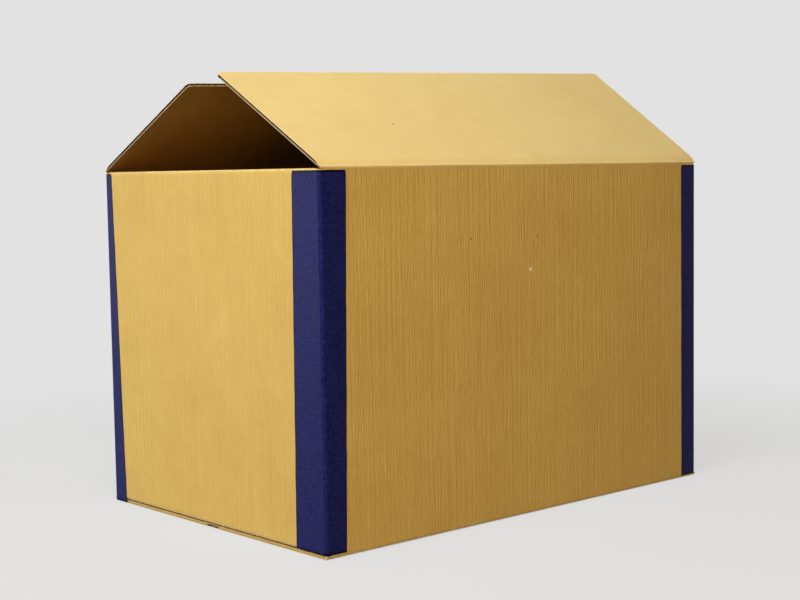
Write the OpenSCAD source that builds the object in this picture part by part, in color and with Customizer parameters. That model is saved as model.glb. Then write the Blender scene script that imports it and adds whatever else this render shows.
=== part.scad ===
// Moving carton of fluted board: four walls and eight flaps folded from one sheet,
// its base closed and taped, its top left open, with cloth tape down the four corners.
// X runs along the long walls, Y along the short walls and Z up.
// The origin is the centre of the base, where the carton rests.

/* [Carton] */
// Outside length, along the long walls
carton_l = 600; // [460:5:800]
// Outside width, along the short walls
carton_w = 408; // [300:2:560]
// Height of the long walls' top creases above the floor
carton_h = 397; // [260:1:600]
// Thickness of the fluted board
board_t = 3.8; // [3:0.1:5]
// Distance from one flute to the next
flute_pitch = 8; // [7:0.1:9]
// Thickness of each liner, and of the fluted sheet between them
liner_t = 0.4; // [0.3:0.05:0.6]
// How far the flutes are cut in at a free edge
mouth_d = 12; // [4:1:30]

/* [Top flaps] */
// Room between the long top flaps' free edges when both are closed
meeting_gap = 4; // [1:0.5:20]
// Tilt of the front flap above level, at its left end
front_tilt_left = 30; // [20:0.5:60]
// Tilt of the front flap above level, at its right end
front_tilt_right = 35.4; // [20:0.2:60]
// Tilt of the back flap above level, at its left end
back_tilt_left = 27; // [20:0.5:60]
// Tilt of the back flap above level, at its right end
back_tilt_right = 32; // [20:0.5:60]
// Round of the front flap's left corner
front_corner_left = 8; // [2:0.5:14]
// Round of the front flap's right corner
front_corner_right = 4; // [2:0.5:14]
// Round of both corners of the back flap
back_corner = 5; // [2:0.5:14]
// Width of the crushed band along a flap's crease
score_w = 10; // [8:0.5:14]
// How far the board stands proud of its crease past the crushed band
score_rise = 2.1; // [2.1:0.1:2.6]
// Slope of the short top flaps below level
short_flap_droop = 3; // [1:0.5:12]
// Gap left over the short walls' rims when the long flaps are closed
closing_gap = 0.3; // [0.2:0.1:1]

/* [Slots and gaps] */
// How far the long flaps' ends lie inside the short walls' outer faces
flap_end_gap = 0.5; // [0.3:0.1:3]
// Room between a short flap's side edge and the long wall beside it
slot_w = 3; // [1.5:0.5:8]
// Slit between a short flap's fold and the wall's corner beside it
fold_slit = 0.5; // [0.3:0.1:1]
// Gap at a crease between the wall's edge and the flap's
crease_gap = 0.2; // [0.15:0.05:0.4]
// How far the corners' ends lie short of the creases
corner_cut = 1; // [0.5:0.1:3]
// Gap between the inner and the outer bottom flaps
lay_gap = 0.3; // [0.2:0.1:1]
// Gap between the two outer bottom flaps
seam_gap = 2; // [1:0.5:8]

/* [Glue tab] */
// Width of the tab that joins the sheet's two ends inside a corner
tab_w = 35; // [25:1:60]
// How far the tab's ends stay clear of the rim and of the bottom flaps
tab_end_gap = 14; // [6:1:40]
// How far the tab's ends are cut back across its width
tab_bevel = 9; // [4:1:20]

/* [Tape] */
// Thickness of the cloth tape
cloth_t = 0.3; // [0.2:0.05:0.5]
// Gap from the short walls' rims down to the corner tapes
cloth_top_gap = 2; // [1:0.5:10]
// Bevel of a corner tape's upper corners
cloth_bevel = 1.5; // [0.5:0.5:6]
// Width of the strip under the base
seam_tape_w = 48; // [30:1:75]
// Thickness of the strip under the base
seam_tape_t = 0.2; // [0.1:0.05:0.4]
// How far the strip's ends stay clear of the short walls
seam_tape_end_gap = 6; // [2:1:60]

/* [Hidden] */
$fn = 48;

kraft = "#d9bb6b";
cloth_navy = "#23224d";
strip_brown = "#b89a64";
over = 1;

half_l = carton_l / 2;
half_w = carton_w / 2;
rim_drop = board_t - score_rise + closing_gap;
rim_z = carton_h - rim_drop;
top_flap_d = (carton_w - meeting_gap) / 2;
bottom_flap_d = (carton_w - seam_gap) / 2;
long_flap_l = carton_l - 2 * flap_end_gap;
short_flap_w = carton_w - 2 * (board_t + slot_w);
inner_floor_z = 2 * board_t + lay_gap;

// The flute mouths' room between the liners, and their widths at their two sides
flute_room = board_t - 2 * liner_t;
mouth_wide = flute_pitch / 2 + flute_room - 2 * liner_t;
mouth_narrow = flute_pitch / 2 - flute_room;

// Rows of points across a long top flap: through the crushed band, then round the corners
score_steps = 4;
corner_angles = [0, 30, 55, 75, 90];
flap_columns = 12;

// One corner tape: its reach on the short wall and on the long wall, at top and bottom,
// and the height of its lower end
tape_front_left = [45, 50, 34, 26, 4.5];
tape_front_right = [50, 51, 28, 27, 3];
tape_back_left = [14, 26, 64, 52, 0.5];
tape_back_right = [39, 37, 39, 41, 4];

function smooth(u) = u * u * (3 - 2 * u);

function mix(a, b, u) = a + (b - a) * u;

// Height of a long flap's outer face over the line from its crease, at a distance s from it
function proud(s) = score_rise * smooth(min(s / score_w, 1));

// How far a rounded corner cuts in from the flap's side edge, at a distance s from the crease
function corner_in(s, r) = s > top_flap_d - r ? r - sqrt(max(r * r - pow(s - top_flap_d + r, 2), 0)) : 0;

function tilt_at(x, tilts) = mix(tilts[0], tilts[1], (x + half_l) / carton_l);

// A point of the front flap: x along the crease, s away from it, n out of the outer face
function flap_point(x, s, n, tilts) =
    let (a = tilt_at(x, tilts))
    [x, -half_w + s * cos(a) - n * sin(a), carton_h + s * sin(a) + n * cos(a)];

function two_triangles(a, b, c, d) = [[a, b, c], [a, c, d]];

// Pair of mouths of one flute at a free edge: x along the edge, y through the board
module mouth_pair() {
    polygon([
        [-mouth_wide / 2, flute_room / 2], [mouth_wide / 2, flute_room / 2],
        [mouth_narrow / 2, -flute_room / 2 + liner_t], [-mouth_narrow / 2, -flute_room / 2 + liner_t]
    ]);
    translate([flute_pitch / 2, 0])
        polygon([
            [-mouth_wide / 2, -flute_room / 2], [mouth_wide / 2, -flute_room / 2],
            [mouth_narrow / 2, flute_room / 2 - liner_t], [-mouth_narrow / 2, flute_room / 2 - liner_t]
        ]);
}

// All the mouths along a straight free edge of the given length, cut from z = 0 downwards
module mouth_row(length) {
    count = floor((length - 2 * flute_pitch) / flute_pitch);
    translate([0, 0, -mouth_d])
        linear_extrude(mouth_d + over)
            for (i = [0:count - 1])
                translate([(i - count / 2 + 0.25) * flute_pitch, 0])
                    mouth_pair();
}

// Round fold of the board, turning from +X towards +Y about Z
module round_fold(turn, length) {
    rotate_extrude(angle = turn)
        square([board_t, length]);
}

// Fold at a wall's upper edge and the flap that turns inwards from it.
// The wall's outer face is x = 0 and the fold's highest point z = 0.
module inward_flap(width, depth, droop) {
    leaf_d = depth - board_t;
    translate([board_t, width / 2, -board_t])
        rotate([90, 0, 0]) {
            rotate([0, 0, 90 - droop])
                round_fold(90 + droop, width);
            rotate([0, 0, -droop])
                difference() {
                    cube([leaf_d, board_t, width]);
                    translate([leaf_d, board_t / 2, width / 2])
                        rotate([0, 90, 0])
                            mouth_row(width);
                }
        }
}

// One short wall, with its folded-in top flap and its inner bottom flap
module short_side() {
    wall_lo = inner_floor_z;
    wall_hi = rim_z - board_t;
    post_lo = board_t + corner_cut;
    post_hi = rim_z - corner_cut;
    translate([-half_l, -half_w + board_t, wall_lo])
        cube([board_t, carton_w - 2 * board_t, wall_hi - wall_lo]);
    for (side = [0, 1])
        mirror([0, side, 0])
            translate([-half_l, short_flap_w / 2 + fold_slit, post_lo])
                cube([board_t, slot_w - fold_slit, post_hi - post_lo]);
    translate([-half_l, 0, rim_z])
        inward_flap(short_flap_w, top_flap_d, short_flap_droop);
    translate([-half_l, 0, board_t + lay_gap])
        mirror([0, 0, 1])
            inward_flap(short_flap_w, bottom_flap_d, 0);
}

// One long wall with its outer bottom flap
module long_side() {
    wall_top = carton_h - crease_gap;
    translate([-half_l + board_t, -half_w, 0])
        rotate([90, 0, 90])
            linear_extrude(carton_l - 2 * board_t)
                polygon([
                    [0, board_t], [board_t, board_t],
                    [board_t, wall_top - board_t], [0, wall_top]
                ]);
    translate([long_flap_l / 2, -half_w + board_t, board_t])
        rotate([0, -90, 0])
            rotate([0, 0, 180])
                round_fold(90, long_flap_l);
    translate([-long_flap_l / 2, -half_w + board_t, 0])
        cube([long_flap_l, bottom_flap_d - board_t, board_t]);
}

// The four upright folds between the walls
module corner_folds() {
    lo = board_t + corner_cut;
    hi = rim_z - corner_cut;
    for (side = [0, 1], end = [0, 1])
        mirror([end, 0, 0])
            mirror([0, side, 0])
                translate([-half_l + board_t, -half_w + board_t, lo])
                    rotate([0, 0, 180])
                        round_fold(90, hi - lo);
}

// Tab glued inside the back right corner
module glue_tab() {
    lo = inner_floor_z + tab_end_gap;
    hi = rim_z - board_t - tab_end_gap;
    translate([half_l - 2 * board_t, half_w - board_t, 0])
        rotate([90, 0, 90])
            linear_extrude(board_t)
                polygon([[0, lo], [0, hi], [-tab_w, hi - tab_bevel], [-tab_w, lo + tab_bevel]]);
}

module seam_strip() {
    strip_l = carton_l - 2 * seam_tape_end_gap;
    translate([-strip_l / 2, -seam_tape_w / 2, 0])
        cube([strip_l, seam_tape_w, seam_tape_t]);
}

module carton() {
    color(kraft)
        difference() {
            union() {
                for (end = [0, 1])
                    mirror([end, 0, 0])
                        short_side();
                for (side = [0, 1])
                    mirror([0, side, 0])
                        long_side();
                corner_folds();
                glue_tab();
            }
            seam_strip();
        }
}

// Body of a long top flap on the front wall's crease, turned up by its tilts
module flap_sheet(tilts, corners) {
    r = max(corners);
    rows = concat(
        [crease_gap],
        [for (i = [1:score_steps]) score_w * i / score_steps],
        [for (a = corner_angles) top_flap_d - r + r * sin(a)]
    );
    inner_n = score_rise - board_t;
    last = len(rows) - 1;
    span = flap_columns + 1;
    under = len(rows) * span;
    ends = [for (s = rows) [
        -long_flap_l / 2 + corner_in(s, corners[0]),
        long_flap_l / 2 - corner_in(s, corners[1])
    ]];
    inner_rows = [for (k = [0:last]) k == 0 ? crease_gap - inner_n : rows[k]];
    outer_points = [for (k = [0:last], j = [0:flap_columns])
        flap_point(mix(ends[k][0], ends[k][1], j / flap_columns), rows[k], proud(rows[k]), tilts)];
    inner_points = [for (k = [0:last], j = [0:flap_columns])
        flap_point(mix(ends[k][0], ends[k][1], j / flap_columns), inner_rows[k], inner_n, tilts)];
    grid = [for (k = [0:last - 1], j = [0:flap_columns - 1])
        [k * span + j, (k + 1) * span + j, (k + 1) * span + j + 1, k * span + j + 1]];
    left = [for (k = [0:last - 1]) [k * span, (k + 1) * span]];
    crease = [for (j = [0:flap_columns - 1]) [j, j + 1]];
    faces = concat(
        [for (q = grid) each two_triangles(q[0], q[1], q[2], q[3])],
        [for (q = grid) each two_triangles(q[0] + under, q[3] + under, q[2] + under, q[1] + under)],
        [for (q = left) each two_triangles(q[0], q[0] + under, q[1] + under, q[1])],
        [for (q = left) each two_triangles(
            q[0] + flap_columns, q[1] + flap_columns,
            q[1] + under + flap_columns, q[0] + under + flap_columns)],
        [for (q = crease) each two_triangles(q[0], q[1], q[1] + under, q[0] + under)],
        [for (q = crease) each two_triangles(
            q[0] + last * span, q[0] + last * span + under,
            q[1] + last * span + under, q[1] + last * span)]
    );
    polyhedron(points = concat(outer_points, inner_points), faces = faces);
}

// Long top flap with its flute mouths, on the front wall's crease
module long_top_flap(tilts, corners) {
    count = floor((long_flap_l - 2 * max(corners) - flute_pitch) / flute_pitch);
    roll = atan(top_flap_d * (tilts[1] - tilts[0]) * PI / 180 / carton_l);
    difference() {
        flap_sheet(tilts, corners);
        for (i = [0:count - 1]) {
            x = (i - count / 2 + 0.25) * flute_pitch;
            translate([x, -half_w, carton_h])
                rotate([tilt_at(x, tilts), 0, 0])
                    translate([0, top_flap_d, score_rise - board_t / 2])
                        rotate([0, -roll, 0])
                            rotate([-90, 0, 0])
                                translate([0, 0, -mouth_d])
                                    linear_extrude(mouth_d + over)
                                        mouth_pair();
        }
    }
}

module front_top_flap() {
    color(kraft)
        long_top_flap([front_tilt_left, front_tilt_right], [front_corner_left, front_corner_right]);
}

module back_top_flap() {
    color(kraft)
        mirror([0, 1, 0])
            long_top_flap([back_tilt_left, back_tilt_right], [back_corner, back_corner]);
}

// One leg of a corner tape, flat on a wall: reach along x from the corner, height along y
module tape_leg(reach_top, reach_bottom, lo, hi) {
    linear_extrude(cloth_t)
        polygon([
            [board_t, lo], [reach_bottom, lo],
            [reach_top, hi - cloth_bevel], [reach_top - cloth_bevel, hi],
            [board_t, hi]
        ]);
}

// Corner tape on the front left corner, from [short wall top, short wall bottom,
// long wall top, long wall bottom, lower end]
module corner_tape(t) {
    lo = t[4];
    hi = rim_z - cloth_top_gap;
    translate([-half_l, -half_w, 0]) {
        translate([-cloth_t, 0, 0])
            rotate([90, 0, 90])
                tape_leg(t[0], t[1], lo, hi);
        rotate([90, 0, 0])
            tape_leg(t[2], t[3], lo, hi);
        translate([board_t, board_t, lo])
            rotate([0, 0, 180])
                rotate_extrude(angle = 90)
                    translate([board_t, 0])
                        square([cloth_t, hi - lo]);
    }
}

module corner_tape_front_left() {
    color(cloth_navy)
        corner_tape(tape_front_left);
}

module corner_tape_front_right() {
    color(cloth_navy)
        mirror([1, 0, 0])
            corner_tape(tape_front_right);
}

module corner_tape_back_left() {
    color(cloth_navy)
        mirror([0, 1, 0])
            corner_tape(tape_back_left);
}

module corner_tape_back_right() {
    color(cloth_navy)
        mirror([1, 0, 0])
            mirror([0, 1, 0])
                corner_tape(tape_back_right);
}

module bottom_seam_tape() {
    color(strip_brown)
        seam_strip();
}

carton();
front_top_flap();
back_top_flap();
corner_tape_front_left();
corner_tape_front_right();
corner_tape_back_left();
corner_tape_back_right();
bottom_seam_tape();
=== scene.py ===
import logging
import math
from dataclasses import dataclass
from enum import Enum, IntEnum
from typing import Any, Callable, Sequence

import bmesh
import bpy
import numpy as np
from mathutils import Euler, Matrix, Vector


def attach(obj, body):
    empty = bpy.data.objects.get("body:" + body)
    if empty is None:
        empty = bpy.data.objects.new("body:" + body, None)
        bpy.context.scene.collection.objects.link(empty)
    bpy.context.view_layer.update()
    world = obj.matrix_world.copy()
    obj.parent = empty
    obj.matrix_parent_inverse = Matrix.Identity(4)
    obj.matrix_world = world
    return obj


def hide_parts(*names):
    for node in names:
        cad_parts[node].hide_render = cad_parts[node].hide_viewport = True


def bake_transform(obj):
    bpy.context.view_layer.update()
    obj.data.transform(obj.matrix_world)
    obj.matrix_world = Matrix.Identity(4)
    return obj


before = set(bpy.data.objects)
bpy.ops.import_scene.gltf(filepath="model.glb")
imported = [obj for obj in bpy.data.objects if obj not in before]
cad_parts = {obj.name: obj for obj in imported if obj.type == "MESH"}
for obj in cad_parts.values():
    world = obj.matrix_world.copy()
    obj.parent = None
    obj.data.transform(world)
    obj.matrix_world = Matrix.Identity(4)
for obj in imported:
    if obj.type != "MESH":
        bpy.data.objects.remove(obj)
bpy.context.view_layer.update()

LOG = logging.getLogger("moving_carton")
MM = 0.001
WAVES = 7
FLUTES = 1024
NEXT_SHEET = 3000.0
Array = np.ndarray
Place = Callable[[Array, Array, Array], Array]
Colour = tuple[float, float, float, float]


class Body(Enum):
    """The bodies that pieces ride on."""

    CARTON = "carton"
    FRONT = "front_flap"
    BACK = "back_flap"


class Slot(Enum):
    """The record's material slots."""

    KRAFT = "kraft_board"
    CLOTH = "navy_cloth_tape"
    PAPER = "kraft_paper_tape"


class End(Enum):
    """The two ends of the carton, by the sign of X."""

    LEFT = -1
    RIGHT = 1


class Side(Enum):
    """The two long sides of the carton, by the sign of Y."""

    FRONT = -1
    BACK = 1


class Wall(IntEnum):
    """What a column of the ring of walls is on."""

    LONG = 0
    SHORT = 1
    CORNER = 2


@dataclass(frozen=True)
class Stock:
    """The fluted board, in millimetres."""

    thick: float = 3.8
    liner: float = 0.45
    pitch: float = 8.0
    phase: float = -2.0
    mouth: float = 10.0
    groove: float = 2.4
    slack: float = 0.15


@dataclass(frozen=True)
class CartonSize:
    """The folded carton's sizes, in millimetres, as the construction has them."""

    half_l: float = 300.0
    half_w: float = 204.0
    crease_z: float = 397.0
    rim_z: float = 395.0
    flap_d: float = 202.0
    base_flap_d: float = 203.0
    long_half: float = 299.5
    short_half: float = 197.2
    slit: float = 0.5
    corner_lo: float = 4.8
    corner_hi: float = 394.0
    inner_floor: float = 7.9
    droop: float = 3.0
    rise: float = 2.1
    score: float = 10.0


STOCK = Stock()
SIZE = CartonSize()


def smooth(t: Array) -> Array:
    """Smooth step from 0 to 1."""
    t = np.clip(t, 0.0, 1.0)
    return t * t * (3.0 - 2.0 * t)


def ripple(u: Array, v: Array | float, seed: int, length: float) -> Array:
    """Soft random waves over a sheet.

    Args:
        u: distance across the flutes
        v: distance along the flutes
        seed: which waves
        length: rough length of a wave, in millimetres

    Returns:
        Values between about -1 and 1.
    """
    rng = np.random.default_rng(seed)
    total = np.zeros(np.broadcast(u, v).shape)
    for _ in range(WAVES):
        a, p = rng.uniform(0.0, math.tau, 2)
        k = math.tau / (length * rng.uniform(0.6, 1.8))
        total = total + np.sin(k * (u * math.cos(a) + v * math.sin(a)) + p)
    return total / 3.6


@dataclass(frozen=True)
class Washboard:
    """Shallow furrows of a liner between the lines where it is glued to the flutes."""

    depth: float
    phase: float
    seed: int
    least: float = 0.35
    spread: float = 1.1
    sway: float = 0.3
    reach: float = 70.0

    def sink(self, u: Array, v: Array) -> Array:
        """How far the liner sinks at a place of the sheet.

        Args:
            u: distance across the flutes
            v: distance along the flutes

        Returns:
            Depths in millimetres, 0 on the glue lines.
        """
        rng = np.random.default_rng(self.seed)
        strength = self.least + self.spread * rng.random(FLUTES)
        swing = rng.uniform(0.0, math.tau, FLUTES)
        turn = (u - self.phase) / STOCK.pitch
        flute = np.floor(turn + 1e-6).astype(int) % FLUTES
        wave = 0.5 - 0.5 * np.cos(math.tau * turn)
        drift = 1.0 + self.sway * np.sin(v / self.reach + swing[flute])
        return self.depth * wave * strength[flute] * drift

    def columns(self, lo: float, hi: float, per_flute: int) -> Array:
        """Places across the flutes that catch each furrow.

        Args:
            lo: first place
            hi: last place
            per_flute: how many for each flute

        Returns:
            Places from lo to hi.
        """
        step = STOCK.pitch / per_flute
        first = math.ceil((lo - self.phase) / step)
        last = math.floor((hi - self.phase) / step)
        inner = self.phase + step * np.arange(first, last + 1)
        inner = inner[(inner > lo + 0.3) & (inner < hi - 0.3)]
        return np.concatenate([[lo], inner, [hi]])


class Draft:
    """Points and faces of one piece, in millimetres, with its sheet map and its wear, which also
    carries painted highlight and painted shade.
    """

    merge = 0.005
    sharp = 34.0

    def __init__(self) -> None:
        """Starts empty."""
        self.parts: list[tuple[Array, ...]] = []
        self.count = 0

    def sheet(
        self,
        outer: Array,
        inner: Array,
        chart: Array,
        wear: Array | float = 0.0,
        present: Array | None = None,
        closed: bool = False,
        slots: tuple[int, int, int] = (0, 1, 2),
    ) -> None:
        """Adds the closed sheet between two grids of points.

        Args:
            outer: points of the outer face, (rows, columns, 3)
            inner: points of the inner face
            chart: the sheet's own coordinates, (rows, columns, 2)
            wear: wear at each point, or everywhere; it also carries painted highlight and painted
                shade
            present: which cells there are, (rows - 1, columns - 1)
            closed: whether the last column is the first one again
            slots: material slots of the outer face, the inner face and the cut edges
        """
        rows, cols = outer.shape[:2]
        if present is None:
            present = np.ones((rows - 1, cols - 1), bool)
        ids = np.arange(rows * cols).reshape(rows, cols)
        a, b, c, d = ids[:-1, :-1], ids[:-1, 1:], ids[1:, 1:], ids[1:, :-1]
        under = rows * cols
        pad = np.zeros((rows + 1, cols + 1), bool)
        pad[1:-1, 1:-1] = present
        if closed:
            pad[1:-1, 0] = present[:, -1]
            pad[1:-1, -1] = present[:, 0]
        quads = [
            (np.stack([a, b, c, d], -1)[present], slots[0]),
            (np.stack([a, d, c, b], -1)[present] + under, slots[1]),
        ]
        edges = (
            (present & ~pad[:-2, 1:-1], b, a),
            (present & ~pad[2:, 1:-1], d, c),
            (present & ~pad[1:-1, :-2], a, d),
            (present & ~pad[1:-1, 2:], c, b),
        )
        for missing, p, q in edges:
            rim = np.stack([p, q, q + under, p + under], -1)[missing]
            quads.append((rim, slots[2]))
        faces = np.concatenate([q for q, _ in quads])
        slot = np.concatenate([np.full(len(q), s) for q, s in quads])
        points = np.concatenate([outer.reshape(-1, 3), inner.reshape(-1, 3)])
        charts = np.concatenate([chart.reshape(-1, 2)] * 2)
        worn = np.broadcast_to(np.asarray(wear, float), (rows, cols)).reshape(-1)
        self._add(points, charts, np.concatenate([worn, worn]), faces, slot)

    def _add(self, points: Array, charts: Array, wear: Array, faces: Array, slot: Array) -> None:
        """Merges points that coincide, drops what collapses and keeps the rest.

        Args:
            points: points, (n, 3)
            charts: sheet coordinates, (n, 2)
            wear: wear, (n,)
            faces: four points for each face
            slot: material slot of each face
        """
        used = np.unique(faces)
        keys = np.round(points[used] / self.merge).astype(np.int64)
        _, first, inverse = np.unique(keys, axis=0, return_index=True, return_inverse=True)
        inverse = inverse.reshape(-1)
        lookup = np.zeros(len(points), int)
        lookup[used] = inverse
        merged = lookup[faces]
        keep = merged != np.roll(merged, -1, axis=1)
        fine = (keep.sum(1) >= 3) & (merged[:, :2] != merged[:, 2:]).all(1)
        keep, merged, faces, slot = keep[fine], merged[fine], faces[fine], slot[fine]
        worn = np.full(len(first), -np.inf)
        np.maximum.at(worn, inverse, wear[used])
        self.parts.append((
            points[used][first], worn, merged[keep] + self.count, charts[faces[keep]],
            keep.sum(1), slot,
        ))
        self.count += len(first)

    def piece(self, name: str, finishes: Sequence[bpy.types.Material]) -> bpy.types.Object:
        """Makes the mesh object.

        Args:
            name: the piece's name
            finishes: its materials, in the order of the slots

        Returns:
            The object, linked to the scene.
        """
        mesh = bpy.data.meshes.new(name)
        points, wear, corners, charts, totals, slots = map(np.concatenate, zip(*self.parts))
        mesh.vertices.add(len(points))
        mesh.vertices.foreach_set("co", (points * MM).reshape(-1))
        mesh.loops.add(len(corners))
        mesh.loops.foreach_set("vertex_index", corners.astype(np.int32))
        mesh.polygons.add(len(totals))
        starts = np.concatenate([[0], np.cumsum(totals)[:-1]])
        mesh.polygons.foreach_set("loop_start", starts.astype(np.int32))
        mesh.polygons.foreach_set("material_index", slots.astype(np.int32))
        mesh.update(calc_edges=True)
        chart = mesh.uv_layers.new(name="sheet")
        chart.data.foreach_set("uv", (charts * MM).reshape(-1).astype(np.float32))
        worn = mesh.attributes.new("wear", "FLOAT", "POINT")
        worn.data.foreach_set("value", wear.astype(np.float32))
        for finish in finishes:
            mesh.materials.append(finish)
        return skinned(name, mesh, self.sharp)


def in_scene(name: str, data: Any) -> bpy.types.Object:
    """Makes an object and links it to the scene.

    Args:
        name: its name
        data: its mesh, light or camera

    Returns:
        The object.
    """
    made = bpy.data.objects.new(name, data)
    bpy.context.scene.collection.objects.link(made)
    return made


def skinned(name: str, mesh: bpy.types.Mesh, sharp: float) -> bpy.types.Object:
    """Makes a piece with its faces outward and smooth.

    Args:
        name: the piece's name
        mesh: its mesh
        sharp: angle from which an edge stays sharp, in degrees

    Returns:
        The piece.
    """
    form = bmesh.new()
    form.from_mesh(mesh)
    bmesh.ops.recalc_face_normals(form, faces=form.faces)
    form.to_mesh(mesh)
    form.free()
    mesh.shade_smooth()
    mesh.set_sharp_from_angle(angle=math.radians(sharp))
    return in_scene(name, mesh)


def hand_over(
    piece: bpy.types.Object, body: Body, stands_for: Sequence[str] = (),
) -> None:
    """Fastens a finished piece to its body and reports it.

    Args:
        piece: the piece
        body: the body that it rides on
        stands_for: the nodes that it replaces
    """
    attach(piece, body.value)
    if stands_for:
        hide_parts(*stands_for)
    LOG.info("%s: %d faces, rides on %s", piece.name, len(piece.data.polygons), body.value)


def stack(x: Array, y: Array, z: Array) -> Array:
    """Joins three grids of numbers into one of points."""
    return np.stack(np.broadcast_arrays(x, y, z), -1).astype(float)


def operators(operation: str) -> tuple[Callable[..., "Sock"], Callable[..., "Sock"]]:
    """Makes an operator of sockets.

    Args:
        operation: the Math node's operation

    Returns:
        The operator and its reflected form.
    """
    def straight(self: "Sock", other: Any) -> "Sock":
        """The socket first."""
        return self.maths(operation, self, other)

    def reflected(self: "Sock", other: Any) -> "Sock":
        """The socket second."""
        return self.maths(operation, other, self)

    return straight, reflected


class Sock:
    """A node's output socket that takes part in sums."""

    __add__, __radd__ = operators("ADD")
    __sub__, __rsub__ = operators("SUBTRACT")
    __mul__, __rmul__ = operators("MULTIPLY")
    __truediv__, __rtruediv__ = operators("DIVIDE")
    __pow__, __rpow__ = operators("POWER")

    def __init__(self, nodes: "Nodes", out: Any) -> None:
        """Keeps the socket and the tree that it is in."""
        self.nodes = nodes
        self.out = out

    def maths(self, operation: str, first: Any, second: Any = 0.0, clamp: bool = False) -> "Sock":
        """Adds one Math node.

        Args:
            operation: the node's operation
            first: its first value
            second: its second value
            clamp: whether the result stays between 0 and 1

        Returns:
            The node's result.
        """
        settings = {"operation": operation, "use_clamp": clamp}
        return self.nodes.add("ShaderNodeMath", settings, {0: first, 1: second})

    def __abs__(self) -> "Sock":
        """Size without its sign."""
        return self.maths("ABSOLUTE", self)

    def sine(self) -> "Sock":
        """Sine."""
        return self.maths("SINE", self)

    def cosine(self) -> "Sock":
        """Cosine."""
        return self.maths("COSINE", self)

    def unit(self) -> "Sock":
        """The same value, kept between 0 and 1."""
        return self.maths("ADD", self, 0.0, clamp=True)

    def step(self, lo: float, hi: float) -> "Sock":
        """Smooth step between two values.

        Args:
            lo: where it leaves 0
            hi: where it reaches 1

        Returns:
            The step.
        """
        settings = {"interpolation_type": "SMOOTHSTEP"}
        values = {"Value": self, "From Min": lo, "From Max": hi}
        return self.nodes.add("ShaderNodeMapRange", settings, values, "Result")


class Nodes:
    """Builds the nodes of one tree."""

    def __init__(self, tree: bpy.types.NodeTree) -> None:
        """Clears the tree."""
        self.tree = tree
        tree.nodes.clear()

    def add(
        self, kind: str, settings: dict[str, Any], values: dict[Any, Any], out: Any = 0,
    ) -> Sock:
        """Adds a node: its settings first, then the values or links of its sockets.

        Args:
            kind: the node's type
            settings: its settings
            values: value, link or list of links of each input, by name or number
            out: the output to return, by name or number

        Returns:
            The output.
        """
        node = self.tree.nodes.new(kind)
        for key, value in settings.items():
            setattr(node, key, value)
        for key, value in values.items():
            for one in value if isinstance(value, list) else [value]:
                if isinstance(one, Sock):
                    self.tree.links.new(one.out, node.inputs[key])
                else:
                    node.inputs[key].default_value = one
        return Sock(self, node.outputs[out] if len(node.outputs) else None)

    def vector(self, x: Any, y: Any, z: Any = 0.0) -> Sock:
        """Joins three values into a vector."""
        return self.add("ShaderNodeCombineXYZ", {}, {0: x, 1: y, 2: z})

    def part(self, vector: Sock, axis: str) -> Sock:
        """One part of a vector, by the letter of its axis."""
        return self.add("ShaderNodeSeparateXYZ", {}, {0: vector}, axis)


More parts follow.
